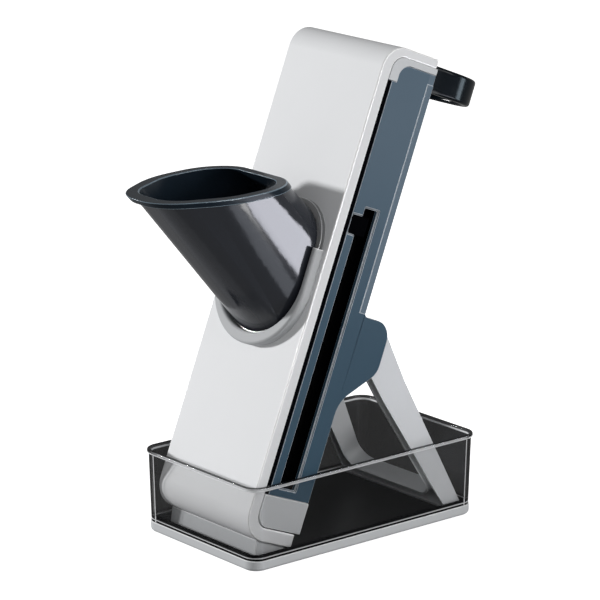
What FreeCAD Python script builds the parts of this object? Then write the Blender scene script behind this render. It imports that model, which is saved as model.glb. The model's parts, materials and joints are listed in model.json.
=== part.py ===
"""Upright push-down vegetable slicer standing in its catch tray.

Millimetres, +Z up, the feed chute towards -Y, the stand towards +Y, origin in the middle of the
tray's underside. The slicer leans back in the tray, so its pieces are drawn upright in a slicer
frame (x across, y depth behind the front face, z height up the face) and leaned by their placement.
"""
import FreeCAD
import Part
import Sketcher
import math
import os
from FreeCAD import Vector

SIZES = {
    # Stance of the slicer in the tray
    "lean": 21.74, "face_foot": 118.4, "seat_gap": 0.3,
    # Catch tray: clear bin in a shallow base
    "tray_width": 133.8, "tray_length": 218.2, "tray_height": 63.9, "tray_corner": 13.0,
    "bin_wall": 1.8, "bin_draft": 1.7, "bin_floor": 3.0, "rim_overhang": 1.05, "rim_height": 3.0,
    "base_height": 8.0, "base_floor": 3.0, "base_wall": 1.2, "base_inset": 2.2, "base_edge": 3.0,
    # White front shell, a C in side view
    "shell_width": 106.0, "shell_bottom": 27.0, "shell_top": 397.0, "shell_depth": 51.7, "heel_depth": 49.0,
    "shell_wall": 3.0, "front_band": 9.4, "top_band": 7.0, "bottom_band": 10.0,
    "shell_shoulder": 18.0, "shell_heel": 20.0, "shell_inside": 10.5,
    # Outlet through the front face, and the throat behind it
    "outlet_half": 38.5, "outlet_low": 174.5, "outlet_high": 263.0, "outlet_crown": 22.0,
    "throat_wall": 3.0, "throat_depth": 10.5,
    # Chute flange and the open-topped collar that holds it
    "flange_half": 47.5, "flange_low": 167.0, "flange_high": 273.0, "flange_crown": 30.0,
    "flange_thick": 3.6, "flange_fit": 0.4,
    "collar_half": 49.5, "collar_low": 159.7, "collar_high": 240.8, "collar_height": 8.0,
    "collar_bore": 44.5, "collar_bore_low": 169.0, "collar_edge": 2.2,
    # Feed chute, a round tube with a flat rear side and a level mouth
    "chute_rise": 47.4, "chute_station": 223.0, "chute_wall": 2.5, "liner_wall": 2.1, "liner_fit": 0.2,
    "chute_half": 43.5, "chute_crown": 41.0, "chute_keel": 48.8, "chute_waist": 23.3, "chute_toe": 18.0,
    "chute_crown_round": 28.0, "chute_waist_round": 42.0, "chute_toe_round": 42.0,
    "top_half": 45.2, "top_crown": 34.3, "top_keel": 42.4, "top_waist": 4.7, "top_toe": 22.5,
    "top_crown_round": 25.0, "top_waist_round": 45.0, "top_toe_round": 28.4,
    "mouth_height": 273.3, "mouth_tilt": 1.5, "lip_overhang": 2.6, "lip_height": 4.6,
    # Blocks that close the shell at both ends, and the wedge it stands on
    "lip_rear": 53.0, "lip_low": 371.8, "lip_front": 17.8, "lip_under": 385.5, "lip_leg": 46.2,
    "lip_corner": 9.0, "block_top": 61.2, "block_rear": 53.5, "block_wall": 3.0, "block_half": 45.0,
    "block_groove": 0.7,
    "foot_half": 50.0, "foot_top_front": 17.0, "foot_front": 20.0, "foot_rear": 46.0,
    # Side frames
    "rail_inset": 0.7, "rail_thick": 4.0, "rail_front": 13.7, "rail_rear": 53.6, "rail_gap": 0.3,
    "ear_rear": 82.5, "ear_top": 203.0, "ear_low": 165.5, "ear_root": 138.4,
    "ear_corner": 14.0, "ear_fillet": 4.0, "ear_sweep": 22.0,
    "slot_front": 22.4, "slot_rear": 37.5, "slot_low": 68.0, "slot_high": 278.6,
    "slot_neck_front": 25.0, "slot_bay_front": 15.4, "slot_bay_high": 272.0, "slot_bay_low": 258.0,
    "slot_corner": 1.2, "ledge_wide": 1.2, "ledge_deep": 1.2,
    "strip_front": 47.9, "strip_low": 205.0, "strip_high": 377.5, "strip_proud": 0.5,
    # Guides for the blade carriage
    "guide_inset": 1.0, "guide_web": 2.5, "guide_lip": 3.0, "guide_lip_thick": 0.9, "guide_high": 371.0,
    "rod_radius": 2.0, "rod_x": 43.5, "rod_y": 30.0, "rod_fit": 0.05,
    "cover_half": 37.6, "cover_wall": 1.3, "cover_front": 15.0, "cover_rear": 44.0, "cover_top": 292.0,
    "cover_cap": 4.0, "cover_cap_front": 20.0,
    "bar_low": 88.0, "bar_high": 104.0, "bar_front": 44.5, "bar_rear": 51.0, "bar_wall": 2.0,
    "bar_screw_x": 30.0, "screw_radius": 1.5, "screw_head": 2.6, "screw_head_high": 1.6,
    # Blade carriage
    "stroke": 108.0, "plate_half": 49.2, "plate_neck": 45.8, "plate_front": 10.9, "plate_thick": 2.2,
    "plate_low": 172.0, "plate_neck_low": 371.3, "plate_high": 385.0,
    "table_half": 45.0, "table_low": 174.0, "slice_thick": 1.0, "slice_low": 273.0, "slice_gap": 6.0,
    "blade_overhang": 3.5, "blade_high": 16.3, "blade_thick": 1.2, "blade_half": 46.3, "blade_fit": 0.2,
    "bevel_high": 3.0, "rivet_radius": 1.5, "rivet_x": 40.0, "rivet_inner_x": 16.0,
    "bush_low": 258.0, "bush_high": 272.0, "bush_half": 4.2, "bush_rear": 35.0,
    "spring_coil": 3.4, "spring_wire": 1.2, "spring_turns": 12.0,
    # Push handle
    "handle_half": 43.0, "handle_band": 6.0, "handle_rear": 125.5, "handle_round": 40.0,
    "handle_arm_half": 36.8, "handle_jog_front": 46.0, "handle_jog_rear": 56.0,
    "handle_low": 373.0, "handle_high": 393.3, "handle_step": 53.3, "handle_arm_high": 384.8,
    "handle_edge": 2.4, "handle_screw_low": 376.0, "handle_screw_high": 381.6, "handle_screw_deep": 9.0,
    # Folding stand
    "pivot_y": 71.0, "pivot_z": 188.0, "pin_radius": 3.0, "pin_fit": 0.05, "pin_seat": 2.2,
    "pin_inner": 37.0, "stand_tilt": 27.4, "stand_top_half": 47.9, "stand_foot_half": 59.2,
    "stand_reach": 160.0, "flare_start": 48.0,
    "leg_thick": 9.5, "leg_root_half": 14.2, "leg_foot_half": 6.8, "leg_head": 14.0, "leg_head_round": 12.0,
    "sill_high": 146.0, "sill_round": 13.0, "leg_wall": 2.0, "channel_high": 18.0, "channel_floor": 4.0,
    "sill_wall": 2.0, "sill_channel": 153.5,
}

doc = FreeCAD.newDocument("push_slicer")
sheet = doc.addObject("Spreadsheet::Sheet", "Sizes")
for row, (alias, size) in enumerate(SIZES.items(), 1):
    sheet.set("A%d" % row, alias)
    sheet.set("B%d" % row, str(size))
    sheet.setAlias("B%d" % row, alias)
doc.recompute()


class Size:
    """A sheet cell, or sums of cells, as an expression's text together with its value."""

    def __init__(self, text, value):
        self.text = text
        self.value = value

    def __add__(self, other):
        return combine(self, "+", other, self.value + number(other))

    def __radd__(self, other):
        return as_size(other) + self

    def __sub__(self, other):
        return combine(self, "-", other, self.value - number(other))

    def __rsub__(self, other):
        return as_size(other) - self

    def __mul__(self, other):
        return combine(self, "*", other, self.value * number(other))

    def __rmul__(self, other):
        return as_size(other) * self

    def __truediv__(self, other):
        return combine(self, "/", other, self.value / number(other))

    def __neg__(self):
        return as_size(0) - self


def as_size(value):
    return value if isinstance(value, Size) else Size(repr(float(value)), float(value))


def number(value):
    return as_size(value).value


def combine(left, sign, right, value):
    return Size("(%s %s %s)" % (left.text, sign, as_size(right).text), value)


def sine(angle):
    return Size("sin(%s)" % angle.text, math.sin(math.radians(angle.value)))


def cosine(angle):
    return Size("cos(%s)" % angle.text, math.cos(math.radians(angle.value)))


def tangent(angle):
    return Size("tan(%s)" % angle.text, math.tan(math.radians(angle.value)))


class Sheet:
    """Reads a cell of the sheet by its alias."""

    def __getattr__(self, alias):
        return Size("Sizes." + alias, float(sheet.get(alias)))


s = Sheet()
BIG = s.shell_top
RIGHT = 1
LEFT = -1
SIDES = {"right": RIGHT, "left": LEFT}
parts = []


# Drawing helpers

def bind(item, prop, size):
    size = as_size(size)
    if "." not in prop:
        setattr(item, prop, size.value)
    item.setExpression(prop, size.text)


def new_body(label):
    body = doc.addObject("PartDesign::Body", label)
    body.Label = label
    body.AllowCompound = True
    parts.append(body)
    return body


def place(item, turn, across=0, y=0, z=0):
    """Turn a piece about X and move its origin, all by expression."""
    text = "placement(vector(%s; %s; %s); rotation(vector(1; 0; 0); %s))"
    item.setExpression("Placement", text % tuple(as_size(v).text for v in (across, y, z, turn)))


def slicer_point(y, z):
    """Row frame Y and Z of a point at depth y and height z of the slicer frame."""
    return z * sine(s.lean) + y * cosine(s.lean) - s.face_foot, z * cosine(s.lean) - y * sine(s.lean)


def slicer_body(label):
    body = new_body(label)
    place(body, -s.lean, y=-s.face_foot)
    return body


def new_sketch(body, role, offset):
    sketch = body.newObject("Sketcher::SketchObject", body.Name + "_sketch")
    plane = next(item for item in body.Origin.OriginFeatures if item.Role == role)
    sketch.AttachmentSupport = [(plane, "")]
    sketch.MapMode = "FlatFace"
    bind(sketch, "AttachmentOffset.Base.z", offset)
    return sketch


class Outline:
    """Closed outline of (x, y) or (x, y, radius) corners: lines, with tangent arcs at the radii."""

    def __init__(self, *corners):
        self.corners = corners

    def draw(self, sketch):
        count = len(self.corners)
        points = [Vector(number(c[0]), number(c[1]), 0) for c in self.corners]
        ends = []
        for i, corner in enumerate(self.corners):
            back = (points[i - 1] - points[i]).normalize()
            ahead = (points[(i + 1) % count] - points[i]).normalize()
            radius = number(corner[2]) if len(corner) > 2 else 0
            half = back.getAngle(ahead) / 2
            centre = points[i] + (back + ahead).normalize() * (radius / math.sin(half)) if radius else None
            reach = radius / math.tan(half)
            ends.append((points[i] + back * reach, points[i] + ahead * reach, centre))
        first = sketch.GeometryCount
        pieces, lines, arcs = [], [], []
        for i, (begin, end, centre) in enumerate(ends):
            lines.append(first + len(pieces))
            pieces.append(Part.LineSegment(ends[i - 1][1], begin))
            arcs.append(first + len(pieces) if centre else None)
            if centre:
                left_turn = (begin - centre).cross(end - centre).z > 0
                order = (begin, end) if left_turn else (end, begin)
                angles = [math.atan2(p.y - centre.y, p.x - centre.x) for p in order]
                circle = Part.Circle(centre, Vector(0, 0, 1), (begin - centre).Length)
                pieces.append(Part.ArcOfCircle(circle, *angles))
                ends[i] = (begin, end, 1 if left_turn else 2)
        sketch.addGeometry(pieces, False)
        marks = sketch.addGeometry([Part.Point(p) for p in points], True)
        rules, bound = [], []
        for i, corner in enumerate(self.corners):
            line, after, arc = lines[i], lines[(i + 1) % count], arcs[i]
            if arc is None:
                rules.append(Sketcher.Constraint("Coincident", line, 2, after, 1))
                rules.append(Sketcher.Constraint("Coincident", marks[i], 1, line, 2))
            else:
                start = ends[i][2]
                rules.append(Sketcher.Constraint("Tangent", line, 2, arc, start))
                rules.append(Sketcher.Constraint("Tangent", arc, 3 - start, after, 1))
                rules.append(Sketcher.Constraint("PointOnObject", marks[i], 1, line))
                rules.append(Sketcher.Constraint("PointOnObject", marks[i], 1, after))
                bound.append((len(rules), "round", corner[2]))
                rules.append(Sketcher.Constraint("Radius", arc, number(corner[2])))
            bound.append((len(rules), "across", corner[0]))
            rules.append(Sketcher.Constraint("DistanceX", -1, 1, marks[i], 1, number(corner[0])))
            bound.append((len(rules), "up", corner[1]))
            rules.append(Sketcher.Constraint("DistanceY", -1, 1, marks[i], 1, number(corner[1])))
        constrain(sketch, rules, bound)


class Round:
    """Circle of a radius about a centre."""

    def __init__(self, x, y, radius):
        self.x, self.y, self.radius = x, y, radius

    def draw(self, sketch):
        centre = Vector(number(self.x), number(self.y), 0)
        circle = sketch.addGeometry(Part.Circle(centre, Vector(0, 0, 1), number(self.radius)), False)
        rules = [
            Sketcher.Constraint("Radius", circle, number(self.radius)),
            Sketcher.Constraint("DistanceX", -1, 1, circle, 3, number(self.x)),
            Sketcher.Constraint("DistanceY", -1, 1, circle, 3, number(self.y)),
        ]
        bound = [(0, "round", self.radius), (1, "across", self.x), (2, "up", self.y)]
        constrain(sketch, rules, bound)


def constrain(sketch, rules, bound):
    first = sketch.ConstraintCount
    sketch.addConstraint(rules)
    for index, word, size in bound:
        name = "%s_%d" % (word, first + index)
        sketch.renameConstraint(first + index, name)
        sketch.setExpression("Constraints." + name, as_size(size).text)


def rectangle(x0, y0, x1, y1, radius=None):
    corner = () if radius is None else (radius,)
    return Outline((x0, y0) + corner, (x1, y0) + corner, (x1, y1) + corner, (x0, y1) + corner)


def arch(half, low, high, crown, slack=0.5):
    """Outline with a round bottom and a flat top that has rounded corners."""
    bottom = half - slack
    return Outline((half, high, crown), (-half, high, crown), (-half, low, bottom), (half, low, bottom))


def extrude(body, kind, role, shapes, length, offset=0, along=None):
    """Pad or Pocket the shapes from a plane, along its normal (1), against it (-1) or both ways (None)."""
    sketch = new_sketch(body, role, offset)
    for shape in shapes:
        shape.draw(sketch)
    feature = body.newObject("PartDesign::" + kind, body.Name + "_" + kind.lower())
    feature.Profile = sketch
    bind(feature, "Length", length)
    if along is None:
        feature.SideType = "Symmetric"
    else:
        feature.Reversed = (along < 0) == (kind == "Pad")
    body.Tip = feature
    return feature


def pad(body, role, shapes, length, offset=0, along=None):
    return extrude(body, "Pad", role, shapes, length, offset, along)


def pocket(body, role, shapes, length, offset=0, along=None):
    return extrude(body, "Pocket", role, shapes, length, offset, along)


def loft(body, kind, first, first_z, second, second_z):
    """Ruled loft between two outlines on planes of constant z."""
    low = new_sketch(body, "XY_Plane", first_z)
    first.draw(low)
    high = new_sketch(body, "XY_Plane", second_z)
    second.draw(high)
    feature = body.newObject("PartDesign::" + kind, body.Name + "_loft")
    feature.Profile = low
    feature.Sections = [high]
    feature.Ruled = True
    body.Tip = feature


def round_edges(body, radius, test):
    """Fillet the edges of the last feature that pass the test on their middle point."""
    doc.recompute()
    base = body.Tip
    names = []
    for index, edge in enumerate(base.Shape.Edges, 1):
        middle = edge.valueAt((edge.FirstParameter + edge.LastParameter) / 2)
        if test(middle, edge):
            names.append("Edge%d" % index)
    fillet = body.newObject("PartDesign::Fillet", body.Name + "_fillet")
    fillet.Base = (base, names)
    bind(fillet, "Radius", radius)
    body.Tip = fillet


def at(value, size):
    return abs(value - number(size)) < 0.01


# Catch tray

def tray_outline(inset):
    half = s.tray_width / 2 - inset
    reach = s.tray_length / 2 - inset
    return rectangle(-half, -reach, half, reach, s.tray_corner - inset)


bin_inset = s.rim_overhang
plug_inset = s.base_inset + s.base_wall + s.seat_gap
floor_low = s.base_floor + s.seat_gap
floor_top = floor_low + s.bin_floor
stand_floor = floor_top + s.seat_gap


def make_tray_base():
    body = new_body("tray_base")
    pad(body, "XY_Plane", [tray_outline(s.base_inset)], s.base_height, along=1)
    pocket(body, "XY_Plane", [tray_outline(s.base_inset + s.base_wall)], s.base_height, s.base_floor, 1)
    round_edges(body, s.base_edge, lambda p, e: at(p.z, 0))


def make_tray_bin():
    body = new_body("tray_bin")
    above_base = s.base_height + s.seat_gap
    pad(body, "XY_Plane", [tray_outline(plug_inset)], s.base_height, floor_low, 1)
    low = tray_outline(bin_inset + s.bin_draft)
    loft(body, "AdditiveLoft", low, above_base, tray_outline(bin_inset), s.tray_height)
    pad(body, "XY_Plane", [tray_outline(0)], s.rim_height, s.tray_height, -1)
    inner_low = tray_outline(bin_inset + s.bin_draft + s.bin_wall)
    loft(body, "SubtractiveLoft", inner_low, floor_top, tray_outline(bin_inset + s.bin_wall), s.tray_height)
    round_edges(body, s.rim_overhang * 0.9, lambda p, e: at(p.z, s.tray_height) and outside_bin(p))


def outside_bin(p):
    half = s.tray_width / 2 - s.tray_corner
    reach = s.tray_length / 2 - s.tray_corner
    return abs(p.x) > number(half) or abs(p.y) > number(reach)


# Front shell and what is fixed to it

outlet = arch(s.outlet_half, s.outlet_low, s.outlet_high, s.outlet_crown)
rail_outer = s.shell_width / 2 - s.rail_inset
guide_outer = s.shell_width / 2 - s.guide_inset


def make_front_shell():
    body = slicer_body("front_shell")
    inner_low = s.shell_bottom + s.bottom_band
    inner_high = s.shell_top - s.top_band
    side = Outline(
        (s.shell_depth, s.shell_top), (0, s.shell_top, s.shell_shoulder), (0, s.shell_bottom, s.shell_heel),
        (s.heel_depth, s.shell_bottom), (s.heel_depth, inner_low), (s.front_band, inner_low, s.shell_inside),
        (s.front_band, inner_high, s.shell_inside), (s.shell_depth, inner_high))
    pad(body, "YZ_Plane", [side], s.shell_width)
    wall = s.shell_wall
    hollow = Outline(
        (s.shell_depth + wall, s.shell_top - wall), (wall, s.shell_top - wall, s.shell_shoulder - wall),
        (wall, s.shell_bottom + wall, s.shell_heel - wall), (s.shell_depth + wall, s.shell_bottom + wall))
    pocket(body, "YZ_Plane", [hollow], s.shell_width - 2 * wall)
    throat = arch(s.outlet_half + s.throat_wall, s.outlet_low - s.throat_wall,
                  s.outlet_high + s.throat_wall, s.outlet_crown + s.throat_wall)
    pad(body, "XZ_Plane", [throat], s.throat_depth - wall / 2, -wall / 2, -1)
    pocket(body, "XZ_Plane", [outlet], s.throat_depth + wall, wall, -1)


def make_chute_collar():
    body = slicer_body("chute_collar")
    bend = s.collar_half - 0.5
    bore_bend = s.collar_bore - 0.4
    u_shape = Outline(
        (-s.collar_half, s.collar_high), (-s.collar_half, s.collar_low, bend),
        (s.collar_half, s.collar_low, bend), (s.collar_half, s.collar_high), (s.collar_bore, s.collar_high),
        (s.collar_bore, s.collar_bore_low, bore_bend), (-s.collar_bore, s.collar_bore_low, bore_bend),
        (-s.collar_bore, s.collar_high))
    pad(body, "XZ_Plane", [u_shape], s.collar_height, along=1)
    groove = arch(s.flange_half + s.flange_fit, s.flange_low - s.flange_fit, s.flange_high, s.flange_crown)
    pocket(body, "XZ_Plane", [groove], s.flange_thick + s.seat_gap + s.flange_fit, along=1)
    below_arms = number(s.collar_high) - 0.01
    round_edges(body, s.collar_edge, lambda p, e: at(p.y, -s.collar_height) and p.z < below_arms)


def make_top_end_block():
    body = slicer_body("top_end_block")
    front = s.front_band + s.seat_gap
    top = s.shell_top - s.top_band
    strip = Outline(
        (s.lip_rear, top), (front, top, s.shell_inside), (front, s.lip_low), (s.lip_front, s.lip_low),
        (s.lip_front, s.lip_under, s.lip_corner), (s.lip_rear, s.lip_under))
    pad(body, "YZ_Plane", [strip], s.shell_width)
    window = rectangle(s.front_band, s.lip_low - 1, s.lip_front + s.lip_corner, s.lip_under)
    pocket(body, "YZ_Plane", [window], s.lip_leg * 2)


def make_bottom_end_block():
    body = slicer_body("bottom_end_block")
    front = s.front_band + s.block_groove
    low = s.shell_bottom + s.bottom_band + s.block_groove
    pad(body, "YZ_Plane", [Outline((s.block_rear, low), (s.block_rear, s.block_top), (front, s.block_top),
                                   (front, low, s.shell_inside))], s.shell_width)
    hollow = rectangle(front + s.shell_inside, low + s.block_wall, BIG, s.block_top - s.block_wall)
    pocket(body, "YZ_Plane", [hollow], s.block_half * 2)


def make_front_foot():
    body = slicer_body("front_foot")

    def floor_at(y):
        return (stand_floor + y * sine(s.lean)) / cosine(s.lean)

    wedge = Outline(
        (s.foot_top_front, s.shell_bottom), (s.foot_front, floor_at(s.foot_front)),
        (s.foot_rear, floor_at(s.foot_rear)), (s.foot_rear, s.shell_bottom))
    pad(body, "YZ_Plane", [wedge], s.foot_half * 2)


# Side frames

def rail_slot(grow):
    """The stepped slot in a side frame, larger by grow all round."""
    front, rear, neck, bay = s.slot_front, s.slot_rear, s.slot_neck_front, s.slot_bay_front
    r = s.slot_corner
    return Outline(
        (front - grow, s.slot_low - grow, r), (rear + grow, s.slot_low - grow, r),
        (rear + grow, s.slot_high + grow, r), (neck - grow, s.slot_high + grow, r),
        (neck - grow, s.slot_bay_high + grow, r), (bay - grow, s.slot_bay_high + grow, r),
        (bay - grow, s.slot_bay_low - grow, r), (front - grow, s.slot_bay_low - grow, r))


def make_side_frame(name, side):
    body = slicer_body(name + "_side_frame")
    inner = rail_outer - s.rail_thick
    low = s.block_top + s.rail_gap
    top = s.lip_under - s.rail_gap
    below_lip = s.lip_low - s.rail_gap
    behind_lip = s.lip_front + s.rail_gap
    profile = Outline(
        (s.rail_front, low), (s.rail_rear, low), (s.rail_rear, s.ear_root, s.ear_sweep),
        (s.ear_rear, s.ear_low, s.ear_corner), (s.ear_rear, s.ear_top, s.ear_corner),
        (s.rail_rear, s.ear_top, s.ear_fillet), (s.rail_rear, top),
        (behind_lip, top, s.lip_corner - s.rail_gap), (behind_lip, below_lip), (s.rail_front, below_lip))
    pad(body, "YZ_Plane", [profile], s.rail_thick, side * inner, side)
    strip = rectangle(s.strip_front, s.strip_low, s.rail_rear, s.strip_high)
    pad(body, "YZ_Plane", [strip], s.strip_proud + s.rail_thick / 2, side * (inner + s.rail_thick / 2), side)
    pocket(body, "YZ_Plane", [rail_slot(s.ledge_wide)], s.ledge_deep, side * rail_outer, -side)
    pocket(body, "YZ_Plane", [rail_slot(as_size(0))], s.rail_thick * 3, side * inner)
    bore = Round(s.pivot_y, s.pivot_z, s.pin_radius)
    pocket(body, "YZ_Plane", [bore], s.pin_seat, side * inner, side)


def make_hinge_pin(name, side):
    body = slicer_body(name + "_hinge_pin")
    outer = rail_outer - s.rail_thick + s.pin_seat
    pin = Round(s.pivot_y, s.pivot_z, s.pin_radius)
    pad(body, "YZ_Plane", [pin], outer - s.pin_inner, side * s.pin_inner, side)


def make_guide_strip(name, side):
    body = slicer_body(name + "_guide_strip")
    front = s.front_band + s.seat_gap
    rear = s.rail_front - s.seat_gap
    inner = guide_outer - s.guide_web
    low = s.block_top + s.rail_gap
    section = Outline(
        (side * guide_outer, front), (side * guide_outer, rear), (side * inner, rear),
        (side * inner, front + s.guide_lip_thick), (side * (inner - s.guide_lip), front + s.guide_lip_thick),
        (side * (inner - s.guide_lip), front))
    pad(body, "XY_Plane", [section], s.guide_high - low, low, 1)


def make_guide_rod(name, side):
    body = slicer_body(name + "_guide_rod")
    rod = Round(side * s.rod_x, s.rod_y, s.rod_radius)
    pad(body, "XY_Plane", [rod], s.cover_top - s.block_top, s.block_top, 1)


def make_spring_cover(name, side):
    body = slicer_body(name + "_spring_cover")
    rail_inner = rail_outer - s.rail_thick
    web = s.cover_half + s.cover_wall
    low = s.block_top
    section = Outline(
        (side * s.cover_half, s.cover_front), (side * web, s.cover_front),
        (side * web, s.cover_rear - s.cover_wall), (side * rail_inner, s.cover_rear - s.cover_wall),
        (side * rail_inner, s.cover_rear), (side * s.cover_half, s.cover_rear))
    pad(body, "XY_Plane", [section], s.cover_top - low, low, 1)
    cap = rectangle(side * s.cover_half, s.cover_cap_front, side * rail_inner, s.cover_rear)
    pad(body, "XY_Plane", [cap], s.cover_cap, s.cover_top, -1)
    hole = Round(side * s.rod_x, s.rod_y, s.rod_radius)
    pocket(body, "XY_Plane", [hole], s.cover_cap * 2, s.cover_top - s.cover_cap * 1.5, 1)


def make_rear_crossbar():
    body = slicer_body("rear_crossbar")
    half = rail_outer - s.rail_thick
    pad(body, "YZ_Plane", [rectangle(s.bar_front, s.bar_low, s.bar_rear, s.bar_high)], half * 2)
    wall = s.bar_wall
    hollow = rectangle(s.bar_front - 1, s.bar_low + wall, s.bar_rear - wall, s.bar_high - wall)
    pocket(body, "YZ_Plane", [hollow], (s.bar_screw_x - s.screw_head) * 2)
    middle = (s.bar_low + s.bar_high) / 2
    holes = [Round(side * s.bar_screw_x, middle, s.screw_radius) for side in SIDES.values()]
    pocket(body, "XZ_Plane", holes, s.bar_rear, -s.bar_rear / 2, -1)


def make_crossbar_screws():
    body = slicer_body("crossbar_screws")
    middle = (s.bar_low + s.bar_high) / 2
    shanks = [Round(side * s.bar_screw_x, middle, s.screw_radius) for side in SIDES.values()]
    pad(body, "XZ_Plane", shanks, s.bar_rear - s.bar_front, -s.bar_rear, 1)
    heads = [Round(side * s.bar_screw_x, middle, s.screw_head) for side in SIDES.values()]
    pad(body, "XZ_Plane", heads, s.screw_head_high, -s.bar_rear, -1)


# Blade carriage

plate_rear = s.plate_front + s.plate_thick
slice_high = s.slice_low + s.slice_gap
blade_edge = slice_high - s.blade_overhang
blade_top = blade_edge + s.blade_high


def make_carriage_plate():
    body = slicer_body("carriage_plate")
    shape = Outline(
        (-s.plate_half, s.plate_low), (s.plate_half, s.plate_low), (s.plate_half, s.plate_neck_low),
        (s.plate_neck, s.plate_neck_low), (s.plate_neck, s.plate_high), (-s.plate_neck, s.plate_high),
        (-s.plate_neck, s.plate_neck_low), (-s.plate_half, s.plate_neck_low))
    pad(body, "XZ_Plane", [shape], s.plate_thick, -s.plate_front, -1)
    table = rectangle(-s.table_half, s.table_low, s.table_half, s.slice_low)
    pocket(body, "XZ_Plane", [table], s.slice_thick, -s.plate_front, -1)
    seat_half = s.blade_half + s.blade_fit
    gap = rectangle(-seat_half, s.slice_low, seat_half, slice_high)
    through = s.plate_thick * 3
    ahead = -s.plate_front + s.plate_thick
    pocket(body, "XZ_Plane", [gap], through, ahead, -1)
    seat = rectangle(-seat_half, slice_high - s.blade_fit, seat_half, blade_top + s.blade_fit)
    pocket(body, "XZ_Plane", [seat], s.blade_thick, -s.plate_front, -1)
    pocket(body, "XZ_Plane", rivet_rounds(), through, ahead, -1)
    pocket(body, "XZ_Plane", screw_rounds(s.screw_head), s.screw_radius, -s.plate_front, -1)
    pocket(body, "XZ_Plane", screw_rounds(s.screw_radius), through, ahead, -1)


def rivet_rounds():
    middle = (slice_high + blade_top) / 2
    across = (s.rivet_x, s.rivet_inner_x)
    return [Round(side * x, middle, s.rivet_radius) for x in across for side in SIDES.values()]


def screw_rounds(radius):
    across = s.handle_arm_half - s.handle_band / 2
    heights = (s.handle_screw_low, s.handle_screw_high)
    return [Round(side * across, height, radius) for height in heights for side in SIDES.values()]


def make_slicing_blade():
    body = slicer_body("slicing_blade")
    rear = s.plate_front + s.blade_thick
    section = Outline(
        (s.plate_front, blade_edge), (rear, blade_edge + s.bevel_high), (rear, blade_top),
        (s.plate_front, blade_top))
    pad(body, "YZ_Plane", [section], s.blade_half * 2)
    pocket(body, "XZ_Plane", rivet_rounds(), s.plate_thick * 3, -s.plate_front + s.plate_thick, -1)


def make_blade_rivets():
    body = slicer_body("blade_rivets")
    pad(body, "XZ_Plane", rivet_rounds(), s.plate_thick, -s.plate_front, -1)


def make_handle_screws():
    body = slicer_body("handle_screws")
    pad(body, "XZ_Plane", screw_rounds(s.screw_head), s.screw_radius, -s.plate_front, -1)
    pad(body, "XZ_Plane", screw_rounds(s.screw_radius), s.handle_screw_deep, -s.plate_front, -1)


def make_guide_bush(name, side):
    body = slicer_body(name + "_guide_bush")
    block = rectangle(side * s.rod_x - s.bush_half, plate_rear, side * s.rod_x + s.bush_half, s.bush_rear)
    bore = Round(side * s.rod_x, s.rod_y, s.rod_radius + s.rod_fit)
    pad(body, "XY_Plane", [block, bore], s.bush_high - s.bush_low, s.bush_low, 1)


def make_press_handle():
    body = slicer_body("press_handle")
    inner = s.handle_half - s.handle_band
    inner_rear = s.handle_rear - s.handle_band
    inner_round = s.handle_round - s.handle_band
    arm_inner = s.handle_arm_half - s.handle_band
    loop = Outline(
        (s.handle_arm_half, plate_rear), (s.handle_arm_half, s.handle_jog_front),
        (s.handle_half, s.handle_jog_rear), (s.handle_half, s.handle_rear, s.handle_round),
        (-s.handle_half, s.handle_rear, s.handle_round),
        (-s.handle_half, s.handle_jog_rear), (-s.handle_arm_half, s.handle_jog_front),
        (-s.handle_arm_half, plate_rear), (-arm_inner, plate_rear), (-arm_inner, s.handle_jog_front),
        (-inner, s.handle_jog_rear), (-inner, inner_rear, inner_round), (inner, inner_rear, inner_round),
        (inner, s.handle_jog_rear), (arm_inner, s.handle_jog_front), (arm_inner, plate_rear))
    pad(body, "XY_Plane", [loop], s.handle_high - s.handle_low, s.handle_low, 1)
    step = rectangle(0, s.handle_arm_high, s.handle_step, s.handle_high + 1)
    pocket(body, "YZ_Plane", [step], s.shell_width)
    pocket(body, "XZ_Plane", screw_rounds(s.screw_radius), s.handle_screw_deep, -s.plate_front, -1)
    ends = (number(s.handle_low), number(s.handle_high))
    loop_front = number(s.handle_jog_rear) + 1
    round_edges(body, s.handle_edge, lambda p, e: p.y > loop_front and min(abs(p.z - z) for z in ends) < 0.01)


# Return springs

def biarc(start, start_way, end, end_way):
    """Two arcs from start to end that leave and arrive along the given directions."""
    span = end - start
    ways = start_way + end_way
    a = 2 * (1 - start_way.dot(end_way))
    b = 2 * span.dot(ways)
    c = -span.dot(span)
    reach = -c / b if abs(a) < 1e-9 else (-b + math.sqrt(b * b - 4 * a * c)) / (2 * a)
    joint = (start + start_way * reach + end - end_way * reach) * 0.5
    return [tangent_arc(start, start_way, joint), tangent_arc(end, end_way * -1, joint, True)]


def tangent_arc(start, way, end, backwards=False):
    chord = end - start
    middle = (start + end) * 0.5
    side = way * chord.Length - chord * (way.dot(chord) / chord.Length)
    half_angle = way.getAngle(chord)
    sag = chord.Length / 2 * math.tan(half_angle / 2)
    top = middle + side.normalize() * sag
    order = (end, top, start) if backwards else (start, top, end)
    return Part.Arc(*order)


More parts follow.
